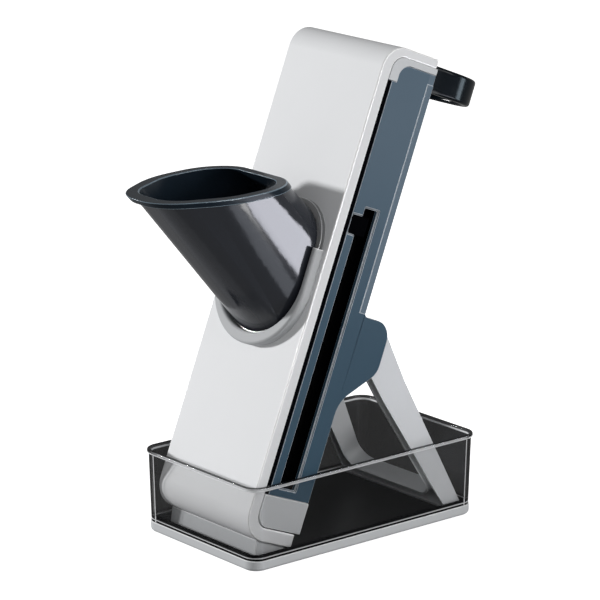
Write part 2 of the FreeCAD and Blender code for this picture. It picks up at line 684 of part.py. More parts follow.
def spring_edges(foot, length, coil, wire, turns):
    """Path of the wire up from its foot: a tail, turns as biarcs of a quarter turn, a tail."""
    up = Vector(0, 0, 1)
    quarters = int(round(turns * 4))
    rise = (length - 2 * wire) / quarters
    slope = math.atan2(rise, coil * math.pi / 2)

    def point(k):
        angle = k * math.pi / 2
        return foot + Vector(coil * math.cos(angle), coil * math.sin(angle), wire + rise * k)

    def way(k):
        angle = k * math.pi / 2
        flat = Vector(-math.sin(angle), math.cos(angle), 0) * math.cos(slope)
        return flat + up * math.sin(slope)

    stations = [(point(0), up)] + [(point(k), way(k)) for k in range(1, quarters)] + [(point(quarters), up)]
    curves = [Part.LineSegment(point(0) - up * wire, point(0))]
    for (p, p_way), (q, q_way) in zip(stations, stations[1:]):
        curves.extend(biarc(p, p_way, q, q_way))
    curves.append(Part.LineSegment(point(quarters), point(quarters) + up * wire))
    return [curve.toShape() for curve in curves]


def least_gap(edges, wire, pitch_points):
    points = [p for edge in edges for p in edge.discretize(4)[:-1]]
    pairs = ((p, q) for i, p in enumerate(points) for q in points[i + pitch_points:i + 3 * pitch_points])
    return min((p - q).Length for p, q in pairs) - wire


def make_return_spring(name, side):
    gap = number(s.seat_gap)
    low = number(s.block_top) + gap
    high = number(s.bush_low) - gap
    wire = number(s.spring_wire)
    foot = Vector(side * number(s.rod_x), number(s.rod_y), low)
    edges = spring_edges(foot, high - low, number(s.spring_coil), wire, number(s.spring_turns))
    print(name, "return spring least gap to itself", round(least_gap(edges, wire, 16), 2))
    start = edges[0].Vertexes[0].Point
    profile = Part.Wire([Part.makeCircle(wire / 2, start, Vector(0, 0, 1))])
    shell = Part.BRepOffsetAPI.MakePipeShell(Part.Wire(edges))
    shell.add(profile)
    shell.build()
    shell.makeSolid()
    spring = doc.addObject("Part::Feature", name + "_return_spring")
    spring.Shape = shell.shape()
    place(spring, -s.lean, y=-s.face_foot)
    parts.append(spring)


# Feed chute, drawn in a frame whose z runs up the tube's axis

def chute_body(label):
    body = new_body(label)
    y, z = slicer_point(0, s.chute_station)
    place(body, 90 - s.chute_rise, y=y, z=z)
    return body


def tube_section(inset):
    drift = inset * 0.42
    waist = -s.chute_waist + drift
    toe = s.chute_toe - drift
    return egg(s.chute_half - inset, s.chute_crown - inset, -s.chute_keel + inset, waist, toe,
               s.chute_crown_round - inset, s.chute_waist_round - inset, s.chute_toe_round - inset)


def top_section(inset):
    drift = inset * 0.42
    waist = -s.top_waist + drift
    toe = s.top_toe - drift
    return egg(s.top_half - inset, s.top_crown - inset, -s.top_keel + inset, waist, toe,
               s.top_crown_round - inset, s.top_waist_round - inset, s.top_toe_round - inset)


def egg(half, crown, keel, waist, toe, crown_round, waist_round, toe_round):
    return Outline(
        (half, crown, crown_round), (-half, crown, crown_round), (-half, waist, waist_round),
        (-toe, keel, toe_round), (toe, keel, toe_round), (half, waist, waist_round))


face_angle = s.chute_rise - s.lean
mouth_angle = 90 - s.chute_rise - s.mouth_tilt
mouth_reach = (s.mouth_height - s.chute_station * cosine(s.lean)) / sine(s.chute_rise)
tube_low = -s.chute_keel * 0.5
tube_high = mouth_reach + s.chute_keel * 0.95


def section_at(z, inset):
    """Outline of the tapering tube at height z: a straight blend of its two named sections."""
    low = tube_section(inset).corners
    high = top_section(inset).corners
    share = z / tube_high
    blend = [tuple(a + (b - a) * share for a, b in zip(p, q)) for p, q in zip(low, high)]
    return Outline(*blend)


def cut_below_face(body, stand_off):
    """Cut away what lies behind a plane parallel to the front face, stand_off ahead of it."""
    slope = tangent(face_angle)
    rise = stand_off / cosine(face_angle)
    behind = Outline((-BIG, rise - BIG * slope), (BIG, rise + BIG * slope), (BIG, -BIG * 2), (-BIG, -BIG * 2))
    pocket(body, "YZ_Plane", [behind], BIG)


def mouth_side(drop, far):
    """Outline of all that lies on the far side of a plane drop below the mouth."""
    slope = tangent(mouth_angle)
    top = mouth_reach - drop
    return Outline((-BIG, top + BIG * slope), (BIG, top - BIG * slope), (BIG, far), (-BIG, far))


def cut_above_mouth(body, drop=0):
    pocket(body, "YZ_Plane", [mouth_side(drop, BIG * 2)], BIG)


lip_drop = s.lip_height / sine(s.chute_rise)


def tube_loft(body, kind, inset):
    low, high = section_at(tube_low, inset), section_at(tube_high, inset)
    loft(body, kind, low, tube_low, high, tube_high)


def make_chute_tube():
    body = chute_body("chute_tube")
    tube_loft(body, "AdditiveLoft", as_size(0))
    cut_below_face(body, s.flange_thick + s.seat_gap)
    cut_above_mouth(body, lip_drop)
    tube_loft(body, "SubtractiveLoft", s.chute_wall)


def make_chute_liner():
    body = chute_body("chute_liner")
    pad(body, "XY_Plane", [section_at(mouth_reach, -s.lip_overhang)], tube_high - tube_low, tube_low, 1)
    pocket(body, "YZ_Plane", [mouth_side(lip_drop, -BIG * 2)], BIG)
    outer = s.chute_wall + s.liner_fit
    tube_loft(body, "AdditiveLoft", outer)
    cut_above_mouth(body)
    cut_below_face(body, s.flange_thick + s.seat_gap)
    tube_loft(body, "SubtractiveLoft", outer + s.liner_wall)


def make_chute_flange():
    body = slicer_body("chute_flange")
    plate = arch(s.flange_half, s.flange_low, s.flange_high, s.flange_crown)
    pad(body, "XZ_Plane", [plate], s.flange_thick, s.seat_gap, 1)
    pocket(body, "XZ_Plane", [outlet], s.flange_thick * 3, -s.flange_thick, 1)


# Folding stand, drawn in a frame at its hinge with z up the legs

def make_stand_frame():
    body = new_body("stand_frame")
    y, z = slicer_point(s.pivot_y, s.pivot_z)
    place(body, s.stand_tilt, y=y, z=z)
    flare = (s.stand_foot_half - s.stand_top_half) / (s.stand_reach - s.flare_start)
    depth = s.stand_reach + s.leg_head
    start = s.flare_start
    top_outer = s.stand_top_half
    top_inner = s.stand_top_half - s.leg_thick

    def outer(drop):
        return s.stand_top_half + (drop - s.flare_start) * flare

    def inner(drop):
        return outer(drop) - s.leg_thick

    u_shape = Outline(
        (top_outer, s.leg_head), (top_outer, -start), (outer(depth), -depth), (-outer(depth), -depth),
        (-top_outer, -start), (-top_outer, s.leg_head), (-top_inner, s.leg_head), (-top_inner, -start),
        (-inner(s.sill_high), -s.sill_high, s.sill_round), (inner(s.sill_high), -s.sill_high, s.sill_round),
        (top_inner, -start), (top_inner, s.leg_head))
    pad(body, "XZ_Plane", [u_shape], s.leg_root_half * 3)
    taper = (s.leg_root_half - s.leg_foot_half) / s.stand_reach
    for way in (1, -1):
        high = way * (s.leg_root_half + s.leg_head * taper)
        low = way * (s.leg_root_half - depth * taper)
        far = way * s.stand_reach
        beside = Outline((high, s.leg_head), (low, -depth), (far, -depth), (far, s.leg_head))
        pocket(body, "YZ_Plane", [beside], BIG)
    leg_side = number(s.leg_root_half) - 0.5
    round_edges(body, s.leg_head_round, lambda p, e: at(p.z, s.leg_head) and abs(p.y) > leg_side)
    slope = tangent(s.stand_tilt)
    sole = (stand_floor - z) / cosine(s.stand_tilt)
    below = Outline((-BIG, sole + BIG * slope), (BIG, sole - BIG * slope), (BIG, -BIG * 2), (-BIG, -BIG * 2))
    pocket(body, "YZ_Plane", [below], BIG)
    w = s.leg_wall
    sill_outer = outer(s.sill_channel) - w
    channel = Outline(
        (top_outer - w, -s.channel_high), (top_outer - w, -start), (sill_outer, -s.sill_channel),
        (-sill_outer, -s.sill_channel), (-top_outer + w, -start), (-top_outer + w, -s.channel_high),
        (-top_inner - w, -s.channel_high), (-top_inner - w, -start),
        (-inner(s.sill_high) - w, -s.sill_high - s.sill_wall, s.sill_round + w),
        (inner(s.sill_high) + w, -s.sill_high - s.sill_wall, s.sill_round + w),
        (top_inner + w, -start), (top_inner + w, -s.channel_high))
    pocket(body, "XZ_Plane", [channel], s.stand_reach, -s.channel_floor, 1)
    bore = Round(0, 0, s.pin_radius + s.pin_fit)
    pocket(body, "YZ_Plane", [bore], BIG)


make_tray_base()
make_tray_bin()
make_front_shell()
make_chute_collar()
make_top_end_block()
make_bottom_end_block()
make_front_foot()
make_rear_crossbar()
make_crossbar_screws()
make_carriage_plate()
make_slicing_blade()
make_blade_rivets()
make_press_handle()
make_handle_screws()
make_chute_tube()
make_chute_liner()
make_chute_flange()
make_stand_frame()
for side_name, side_sign in SIDES.items():
    make_side_frame(side_name, side_sign)
    make_hinge_pin(side_name, side_sign)
    make_guide_strip(side_name, side_sign)
    make_guide_rod(side_name, side_sign)
    make_spring_cover(side_name, side_sign)
    make_guide_bush(side_name, side_sign)
    make_return_spring(side_name, side_sign)

doc.recompute()
failed = [item.Name for item in doc.Objects if {"Invalid", "Error"} & set(item.State)]
bad = [part.Label for part in parts if part.Shape.isNull() or not part.Shape.isValid()]
if failed or bad:
    raise RuntimeError("failed features %s, bad shapes %s" % (failed, bad))
os.makedirs("parts", exist_ok=True)
for part in parts:
    part.Shape.exportStep("parts/%s.step" % part.Label)
    print(part.Label, len(part.Shape.Solids), round(part.Shape.Volume))
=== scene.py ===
"""Looks of an upright push-down slicer in its catch tray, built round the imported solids."""

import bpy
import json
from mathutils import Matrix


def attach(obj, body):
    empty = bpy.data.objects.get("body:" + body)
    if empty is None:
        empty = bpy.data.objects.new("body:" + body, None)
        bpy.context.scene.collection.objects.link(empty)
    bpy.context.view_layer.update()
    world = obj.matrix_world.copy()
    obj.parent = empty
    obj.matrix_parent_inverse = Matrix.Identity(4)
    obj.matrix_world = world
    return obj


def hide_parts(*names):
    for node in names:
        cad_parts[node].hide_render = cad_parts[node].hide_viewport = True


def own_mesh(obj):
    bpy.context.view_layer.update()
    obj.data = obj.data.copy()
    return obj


bl_info = {
    "name": "Push slicer",
    "version": (1, 0, 0),
    "blender": (4, 5, 0),
    "location": "3D View > Sidebar > Slicer",
    "description": "Dresses a push-down vegetable slicer and sets its stage",
    "category": "Object",
}

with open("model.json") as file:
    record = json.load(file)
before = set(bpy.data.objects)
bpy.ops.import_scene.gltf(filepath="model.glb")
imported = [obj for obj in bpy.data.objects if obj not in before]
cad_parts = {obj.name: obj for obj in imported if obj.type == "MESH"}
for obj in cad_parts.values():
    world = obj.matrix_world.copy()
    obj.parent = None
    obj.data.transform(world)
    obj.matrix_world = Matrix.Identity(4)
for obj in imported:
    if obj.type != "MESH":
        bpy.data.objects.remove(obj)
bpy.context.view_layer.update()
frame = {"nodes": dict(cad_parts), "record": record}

import json
import math

import bmesh
import bpy
from bpy.props import FloatProperty, FloatVectorProperty, IntProperty, PointerProperty
from mathutils import Vector

BODY_OF = {node: body for body, nodes in frame["record"]["behaviour"]["bodies"].items() for node in nodes}
SIDES = {"right": 1, "left": -1}

# The slicer leans back about the line where its front face meets the table.
LEAN = math.radians(21.74)
FACE_FOOT = 0.1184
UP_FACE = Vector((0, math.sin(LEAN), math.cos(LEAN)))
INTO_FACE = Vector((0, math.cos(LEAN), -math.sin(LEAN)))


def on_slicer(x, depth, height):
    """Point of the row frame at a depth behind the front face and a height up it."""
    return Vector((x, -FACE_FOOT, 0)) + INTO_FACE * depth + UP_FACE * height


# Sizes and colours a user would change

def colour(label, text, value):
    return FloatVectorProperty(
        name=label, description=text, default=value, size=3, subtype="COLOR", min=0, max=1)


def length(label, text, value):
    return FloatProperty(
        name=label, description=text, default=value, unit="LENGTH", subtype="DISTANCE", min=0)


class SlicerColours(bpy.types.PropertyGroup):
    white: colour("White", "Front shell", (0.80, 0.81, 0.825))
    # The white edge colour is a painted highlight along the shell's roundings.
    white_edge_highlight: colour("White edge", "Roundings of the front shell", (0.96, 0.965, 0.97))
    grey: colour("Light grey", "Collar, end blocks, foot, stand and tray base", (0.56, 0.575, 0.59))
    # The grey edge colour is a painted highlight along the grey mouldings' roundings.
    grey_edge_highlight: colour("Grey edge", "Roundings of the grey mouldings", (0.80, 0.81, 0.82))
    slate: colour("Slate", "Side frames near the top", (0.102, 0.150, 0.198))
    # The low slate is the slate darkened as painted shade: lower on the side frames, and all over the
    # crossbar and carriage.
    slate_shade: colour("Low slate", "Side frames near the hinge, crossbar and carriage", (0.044, 0.087, 0.129))
    # The slate edge colour is a painted highlight along the side frames' roundings; a dimmed share of it
    # paints a highlight on the ledge round the slot.
    slate_edge_highlight: colour("Slate edge", "Roundings of the side frames", (0.48, 0.53, 0.58))
    strip: colour("Rear strip", "Raised strip along the side frames' rear edge", (0.135, 0.185, 0.235))
    # This is the guides' own black plastic, made so dark and dull that it also serves as painted shade in the
    # slots and gaps.
    black: colour("Black", "Guide strips, spring covers and bushes", (0.002, 0.0022, 0.003))
    navy: colour("Navy", "Handle and chute rim", (0.012, 0.020, 0.030))
    # The rim edge colour is a painted highlight along the chute rim's roundings.
    rim_edge_highlight: colour("Rim edge", "Roundings of the chute's rim", (0.16, 0.22, 0.27))
    smoke: colour("Smoke", "Feed chute", (0.020, 0.023, 0.031))
    tray_tint: colour("Tray tint", "Smoky plastic of the tray and the chute's flange", (0.012, 0.013, 0.015))
    # The glint colour is painted highlight: bright lines on the tray and along the flange's edge.
    glint: colour("Glint", "Bright lines along the tray's beads and the flange's edge", (0.85, 0.86, 0.88))
    steel: colour("Steel", "Blade, pins and fasteners", (0.56, 0.57, 0.58))
    # The rods and springs are steel; this near-black stands in for the shade in the slots.
    slot_shade: colour("Black oxide", "Rods and return springs", (0.0016, 0.0016, 0.0018))


class SlicerSizes(bpy.types.PropertyGroup):
    shell_edge: length("Shell edge", "Rounding of the front shell's edges", 0.0011)
    moulding_edge: length("Moulding edge", "Rounding of the grey mouldings' edges", 0.0007)
    frame_edge: length("Frame edge", "Rounding of the side frames, crossbar, carriage and guides", 0.0003)
    handle_edge: length("Handle edge", "Rounding of the handle's edges", 0.0006)
    chute_edge: length("Chute edge", "Rounding of the chute rim", 0.0007)
    tray_edge: length("Tray edge", "Rounding of the bin, the chute tube and its flange", 0.0004)
    coil_radius: length("Coil radius", "Return spring, middle of the wire", 0.0034)
    wire_radius: length("Wire radius", "Return spring wire", 0.0006)
    coil_turns: IntProperty(name="Coil turns", description="Turns of each return spring", default=12, min=1)
    spring_low: length("Spring foot", "Height of the spring's foot up the face", 0.0615)
    spring_high: length("Spring top", "Height of the spring's top up the face", 0.2577)
    spring_kept: FloatProperty(
        name="Spring kept", description="Share of its length the spring keeps when pressed", default=0.45,
        min=0.1, max=1, subtype="FACTOR")
    rod_across: length("Rod offset", "Distance of the guide rods from the middle", 0.0435)
    rod_depth: length("Rod depth", "Depth of the guide rods behind the face", 0.030)


class SlicerStage(bpy.types.PropertyGroup):
    azimuth: FloatProperty(name="Azimuth", description="Camera azimuth in degrees", default=50.46)
    elevation: FloatProperty(name="Elevation", description="Camera elevation in degrees", default=15.23)
    distance: length("Distance", "Camera to target", 2.43477)
    lens: FloatProperty(name="Lens", description="Focal length in millimetres", default=198.97)
    target: FloatVectorProperty(
        name="Target", description="Point the camera looks at", default=(0.00015, -0.01085, 0.17346),
        subtype="XYZ", unit="LENGTH")
    floor: colour("Floor", "Plain pale floor", (0.93, 0.93, 0.93))


def sizes():
    return bpy.context.scene.slicer_sizes


def colours():
    return bpy.context.scene.slicer_colours


# Shader arithmetic

ACROSS = (1, 0, 0)
REARWARD = (0, 1, 0)
UPWARD = (0, 0, 1)

# A Mix node's colour sockets go by number, because their names repeat.
MIX_FACTOR, MIX_FIRST, MIX_SECOND, MIX_RESULT = 0, 6, 7, 2

# Half the width over which a painted line fades out, in metres
LINE_FADE = 0.0002


class Wire:
    """A socket of a material; arithmetic on it adds Math nodes."""

    def __init__(self, paint, socket):
        self.paint = paint
        self.socket = socket

    def __add__(self, other):
        return self.paint.math("ADD", self, other)

    def __mul__(self, other):
        return self.paint.math("MULTIPLY", self, other)

    def __sub__(self, other):
        return self.paint.math("SUBTRACT", self, other)

    def __rsub__(self, other):
        return self.paint.math("SUBTRACT", other, self)

    __radd__ = __add__
    __rmul__ = __mul__


class Paint:
    """One material and the nodes in it."""

    def __init__(self, name, **constants):
        self.material = bpy.data.materials.new(name)
        self.material.use_nodes = True
        self.tree = self.material.node_tree
        self.shader = self.tree.nodes["Principled BSDF"]
        self.set(self.shader, constants)

    def set(self, node, values):
        """Fill a node's sockets by name or number; an underscore in a name stands for a space."""
        for name, value in values.items():
            socket = node.inputs[name.replace("_", " ") if isinstance(name, str) else name]
            if isinstance(value, Wire):
                self.tree.links.new(value.socket, socket)
            else:
                socket.default_value = value

    def node(self, kind, output, settings=None, values=None):
        node = self.tree.nodes.new("ShaderNode" + kind)
        for name, value in (settings or {}).items():
            setattr(node, name, value)
        self.set(node, values or {})
        return Wire(self, node.outputs[output])

    def math(self, operation, a, b=0.0):
        return self.node("Math", 0, {"operation": operation}, {0: a, 1: b})

    def most(self, first, *others):
        """The largest of several values."""
        for other in others:
            first = self.math("MAXIMUM", first, other)
        return first

    def place(self):
        return self.node("TexCoord", "Object")

    def along(self, axis):
        """Distance along a direction through the row frame's origin."""
        return self.node("VectorMath", "Value", {"operation": "DOT_PRODUCT"},
                         {0: self.place(), 1: tuple(axis)})

    def ramp(self, value, low, high, smooth=True):
        """A step from 0 at the low value to 1 at the high one."""
        kind = "SMOOTHSTEP" if smooth else "LINEAR"
        return self.node("MapRange", "Result", {"interpolation_type": kind},
                         {"Value": value, "From_Min": low, "From_Max": high})

    def line(self, value, low, high):
        """1 between the low and high values and 0 elsewhere."""
        past_low = self.ramp(value, low - LINE_FADE, low + LINE_FADE)
        past_high = self.ramp(value, high - LINE_FADE, high + LINE_FADE)
        return past_low * (1.0 - past_high)

    def noise(self, scale, detail=2.0, stretch=(1, 1, 1)):
        where = self.node("Mapping", "Vector", None, {"Vector": self.place(), "Scale": stretch})
        return self.node("TexNoise", "Fac", None, {"Vector": where, "Scale": scale, "Detail": detail})

    def mix(self, factor, a, b):
        return self.node("Mix", MIX_RESULT, {"data_type": "RGBA"},
                         {MIX_FACTOR: factor, MIX_FIRST: rgba(a), MIX_SECOND: rgba(b)})

    def mottled(self, cloud, tone, low, high):
        """A tone that goes from its low share to its high share with the cloud."""
        return self.mix(cloud, shaded(tone, low), shaded(tone, high))

    def bump(self, height, strength, distance):
        return self.node("Bump", "Normal", None,
                         {"Strength": strength, "Distance": distance, "Height": height})


def rgba(value):
    return value if isinstance(value, Wire) else (*value, 1.0)


def shaded(tone, factor):
    """A tone made darker or lighter, up to full white."""
    return tuple(min(1.0, part * factor) for part in tone)


# Finishes. A noise's scale is how many of its waves go into a metre.

MOTTLE = {"scale": 22.0, "detail": 3.0}
GRAIN = {"scale": 1800.0}
FLOW = {"scale": 14.0}
HAIRLINES = {"scale": 90.0, "detail": 4.0, "stretch": (1, 1, 14)}
BRUSHING = {"scale": 60.0, "detail": 5.0, "stretch": (1, 40, 40)}
HAZE = {"scale": 9.0}
FINE_RELIEF = 0.0001
FLOW_RELIEF = 0.001


def moulded_plastic(name, tone, roughness, grain=0.05, shine=0.3):
    """Injection-moulded plastic: faint mottling, a fine spark-eroded grain, uneven gloss."""
    paint = Paint(name, Specular_IOR_Level=shine)
    cloud = paint.noise(**MOTTLE)
    fine = paint.noise(**GRAIN)
    by_cloud, by_grain = 0.06, 0.02
    least = roughness - (by_cloud + by_grain) / 2
    paint.set(paint.shader, {
        "Base_Color": paint.mottled(cloud, tone, low=0.97, high=1.03),
        "Roughness": least + by_cloud * cloud + by_grain * fine,
        "Normal": paint.bump(fine, strength=grain, distance=FINE_RELIEF),
    })
    return paint


def gloss_plastic(name, tone, roughness, shine=0.5):
    """Polished moulding with faint flow ripples and hairline marks."""
    paint = Paint(name, Specular_IOR_Level=shine, IOR=1.5)
    cloud = paint.noise(**FLOW)
    marks = paint.noise(**HAIRLINES)
    by_cloud, by_marks = 0.03, 0.02
    paint.set(paint.shader, {
        "Base_Color": paint.mottled(cloud, tone, low=0.9, high=1.12),
        "Roughness": roughness + by_cloud * cloud + by_marks * marks,
        "Normal": paint.bump(cloud, strength=0.003, distance=FLOW_RELIEF),
    })
    return paint


def brushed_steel(name, tone):
    """Bright steel with fine brushing lines across the slicer."""
    paint = Paint(name, Metallic=1.0)
    lines = paint.noise(**BRUSHING)
    least, by_lines = 0.2, 0.16
    paint.set(paint.shader, {
        "Base_Color": paint.mottled(lines, tone, low=0.85, high=1.1),
        "Roughness": least + by_lines * lines,
        "Normal": paint.bump(lines, strength=0.08, distance=FINE_RELIEF),
    })
    return paint


def slot_shade_finish(name):
    """Near-black matt paint on the steel guide rods and their springs, a painted shade that sinks them into
    the slots.
    """
    return moulded_plastic(name, colours().slot_shade, roughness=0.6, grain=0.03, shine=0.0)


# Places on the side frames where a tone starts and is full: depths behind the face, heights up it, and
# distances from the middle
STRIP_FRONT = (0.0478, 0.0480)
STRIP_FOOT = (0.2048, 0.2052)
# Heights over which the painted shade lower down fades into the upper slate.
SHADE_FADE_HEIGHTS = (0.17, 0.36)
# The ledge between these bounds carries a painted highlight.
LEDGE_INSIDE = (0.0509, 0.0510)
LEDGE_OUTSIDE = (0.0512, 0.0513)


def side_frame_plastic(name, tone, shade_tone, strip_tone, ledge_highlight_tone):
    """Slate plastic with painted shade that darkens it lower down, a lighter raised rear strip and a painted
    highlight on the ledge round the slot.
    """
    paint = moulded_plastic(name, tone, roughness=0.5, grain=0.06, shine=0.04)
    depth = paint.along(INTO_FACE) + FACE_FOOT * math.cos(LEAN)
    height = paint.along(UP_FACE) + FACE_FOOT * math.sin(LEAN)
    from_middle = paint.math("ABSOLUTE", paint.along(ACROSS))
    strip = paint.ramp(depth, *STRIP_FRONT, smooth=False) * paint.ramp(height, *STRIP_FOOT, smooth=False)
    past_ledge = paint.ramp(from_middle, *LEDGE_OUTSIDE, smooth=False)
    # Painted highlight: the ledge round the slot is painted lighter.
    ledge = paint.ramp(from_middle, *LEDGE_INSIDE, smooth=False) * (1.0 - past_ledge)
    body = paint.mottled(paint.noise(**MOTTLE), tone, low=0.95, high=1.05)
    # Painted shade: the slate darkens towards the hinge.
    body = paint.mix(paint.ramp(height, *SHADE_FADE_HEIGHTS), shade_tone, body)
    face = paint.mix(strip, body, strip_tone)
    paint.set(paint.shader, {"Base_Color": paint.mix(ledge, face, ledge_highlight_tone)})
    return paint


# A clear piece's mirror skin: its tone, its roughness, the share it mirrors head on, and how fast that
# share grows towards a glancing view
SKIN_TONE = (0.95, 0.96, 0.97)
SKIN_ROUGHNESS = 0.03
SKIN_HEAD_ON = 0.03
SKIN_GROWTH = 5.0


def polished_skin(paint, share):
    """Lay a mirror skin over a finish, as strong as the share of the glancing reflection."""
    skin = paint.tree.nodes.new("ShaderNodeBsdfPrincipled")
    paint.set(skin, {"Base_Color": rgba(SKIN_TONE), "Metallic": 1.0, "Roughness": SKIN_ROUGHNESS})
    blend = paint.tree.nodes.new("ShaderNodeMixShader")
    glancing = paint.node("LayerWeight", "Facing", None, {"Blend": 0.5})
    mirrored = SKIN_HEAD_ON + (1.0 - SKIN_HEAD_ON) * paint.math("POWER", glancing, SKIN_GROWTH)
    paint.tree.links.new((mirrored * share).socket, blend.inputs[0])
    paint.tree.links.new(paint.shader.outputs[0], blend.inputs[1])
    paint.tree.links.new(skin.outputs[0], blend.inputs[2])
    paint.tree.links.new(blend.outputs[0], paint.tree.nodes["Material Output"].inputs["Surface"])


def smoky_clear(name, tone, alpha, skin):
    """Smoky see-through plastic with a polished skin."""
    paint = Paint(name, Roughness=0.06, Specular_IOR_Level=0.5)
    cloud = paint.noise(**HAZE)
    by_cloud = 0.02
    paint.set(paint.shader, {
        "Base_Color": paint.mottled(cloud, tone, low=0.9, high=1.1),
        "Alpha": alpha - by_cloud / 2 + by_cloud * cloud,
    })
    polished_skin(paint, skin)
    return paint


# The bin's finish is fitted to the photograph's own view of it. These are the level directions to the right
# and away in that view, and how far the bin reaches to either side there: at the table, and more for each
# metre of height.
RIGHT_IN_VIEW = (0.6366, 0.7712, 0)
AWAY_IN_VIEW = (-0.7712, 0.6366, 0)
REACH_AT_TABLE = 0.1187
REACH_BY_HEIGHT = 0.0266

# Places on the bin where a tone starts and is full: heights, distances from the middle, and distances past
# the ends of that reach
ABOVE_FLOOR = (0.0066, 0.0070)
RIM_START = (0.0600, 0.0606)
BEAD_START = (0.0632, 0.0635)
OFF_LEFT_WALL = (-0.0620, -0.0616)
REAR_WALL = (0.1040, 0.1044)
FAR_CORNER = (0.085, 0.095)
# The bands past the ends of that reach are painted shade along the bin's outline in that view.
LEFT_END = (-0.0024, -0.0018)
RIGHT_END = (-0.0026, -0.0020)

# Lines on the bin, from and to: two dark ones at the seam with a painted glint between, and painted glints at
# the rim and the ends
SEAM_BELOW = (0.0076, 0.0094)
SEAM_ABOVE = (0.0106, 0.0124)
SEAM_GLINT = (0.0096, 0.0104)
RIM_GLINT = (0.0607, 0.0621)
LEFT_GLINT = (-0.0040, -0.0033)
RIGHT_GLINT = (-0.0040, -0.0034)

# How much each part of the bin hides what is behind it; the far wall, bead and end values carry painted
# shade, the glint value painted highlights
CLEAR_HIDES = 0.06
HAZE_HIDES = 0.02
FAR_HIDES = 0.87
SEAM_HIDES = 0.93
BEAD_HIDES = 0.8
END_HIDES = 0.9
GLINT_HIDES = 0.7

# Tone of its painted shade and seam lines against the rest, and how much of the mirror skin the rest has
SHADE_AND_SEAM_TONE = 0.3
BIN_SKIN = 0.4


def tray_plastic(name, tone, glint):
    """Smoky bin: clear front and right walls; the floor, far walls, beads and outline ends made dark as
    painted shade; dark seam lines; thin painted glints.
    """
    paint = Paint(name, Roughness=0.3, Specular_IOR_Level=0.05)
    cloud = paint.noise(**HAZE)
    across, rearward, up = paint.along(ACROSS), paint.along(REARWARD), paint.along(UPWARD)
    rightward = paint.along(RIGHT_IN_VIEW)
    reach = REACH_AT_TABLE + REACH_BY_HEIGHT * up
    past_left = 0.0 - rightward - reach
    past_right = rightward - reach

    # Painted shade: the floor, the far walls, the bead and the outline ends are made dark; the seam lines are
    # dark too.
    floor = 1.0 - paint.ramp(up, *ABOVE_FLOOR)
    left_wall = 1.0 - paint.ramp(across, *OFF_LEFT_WALL)
    rear_wall = paint.ramp(rearward, *REAR_WALL)
    far = paint.most(left_wall, rear_wall, paint.ramp(paint.along(AWAY_IN_VIEW), *FAR_CORNER))
    near = 1.0 - far
    seam = paint.most(paint.line(up, *SEAM_BELOW), paint.line(up, *SEAM_ABOVE))
    bead = paint.ramp(up, *BEAD_START)
    ends = paint.most(paint.ramp(past_left, *LEFT_END), paint.ramp(past_right, *RIGHT_END))
    shade_and_seams = paint.most(floor, seam, bead, ends)

    # Painted highlights: thin bright lines at the seam, the rim and the bin's outline ends.
    below_rim = 1.0 - paint.ramp(up, *RIM_START)
    end_glints = paint.most(paint.line(past_left, *LEFT_GLINT), paint.line(past_right, *RIGHT_GLINT))
    end_glints = end_glints * below_rim * near
    glints = paint.most(paint.line(up, *SEAM_GLINT), paint.line(up, *RIM_GLINT), end_glints)

    hidden = paint.most(floor, FAR_HIDES * far, SEAM_HIDES * seam, BEAD_HIDES * bead, END_HIDES * ends)
    tint = paint.mix(shade_and_seams, paint.mottled(cloud, tone, low=0.9, high=1.1), shaded(tone, SHADE_AND_SEAM_TONE))
    paint.set(paint.shader, {
        "Base_Color": paint.mix(glints, tint, glint),
        "Alpha": paint.most(CLEAR_HIDES + HAZE_HIDES * cloud, hidden, GLINT_HIDES * glints * near),
    })
    polished_skin(paint, BIN_SKIN * (1.0 - shade_and_seams))
    return paint


# Pieces

MERGE_DISTANCE = 1e-6
FLAT_ANGLE = math.radians(0.5)
NORMAL_WEIGHT = 80
COIL_STEPS = 24
WIRE_SIDES = 10


def link(name, mesh):
    piece = bpy.data.objects.new(name, mesh)
    bpy.context.scene.collection.objects.link(piece)
    return piece


def settle(piece):
    """Turn a piece with live modifiers into a plain mesh."""
    graph = bpy.context.evaluated_depsgraph_get()
    mesh = bpy.data.meshes.new_from_object(piece.evaluated_get(graph), depsgraph=graph)
    piece.modifiers.clear()
    piece.data = mesh


def stands_for(piece, node):
    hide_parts(node)
    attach(piece, BODY_OF[node])


def eased(node, paint, edge, segments=3, corner=35.0, edge_highlight_paint=None, clamp=True):
    """A solid with its sharp edges rounded, in the solid's place; the roundings may have their own finish,
    which here is always a painted highlight.
    """
    mesh = frame["nodes"][node].data.copy()
    form = bmesh.new()
    form.from_mesh(mesh)
    bmesh.ops.remove_doubles(form, verts=form.verts, dist=MERGE_DISTANCE)
    bmesh.ops.dissolve_limit(form, angle_limit=FLAT_ANGLE, verts=form.verts, edges=form.edges)
    for face in form.faces:
        face.smooth = True
    form.to_mesh(mesh)
    form.free()
    mesh.materials.clear()
    mesh.materials.append(paint.material)
    piece = link(node + "_moulding", mesh)
    bevel = piece.modifiers.new("edge", "BEVEL")
    if edge_highlight_paint:
        mesh.materials.append(edge_highlight_paint.material)
        bevel.material = 1
    bevel.width = edge
    bevel.segments = segments
    bevel.limit_method = "ANGLE"
    bevel.angle_limit = math.radians(corner)
    bevel.use_clamp_overlap = clamp
    normals = piece.modifiers.new("normals", "WEIGHTED_NORMAL")
    normals.keep_sharp = True
    normals.weight = NORMAL_WEIGHT
    settle(piece)
    stands_for(piece, node)


def painted(node, paint):
    """A solid that keeps its own mesh and gets a finish."""
    solid = frame["nodes"][node]
    solid.data.materials.clear()
    solid.data.materials.append(paint.material)


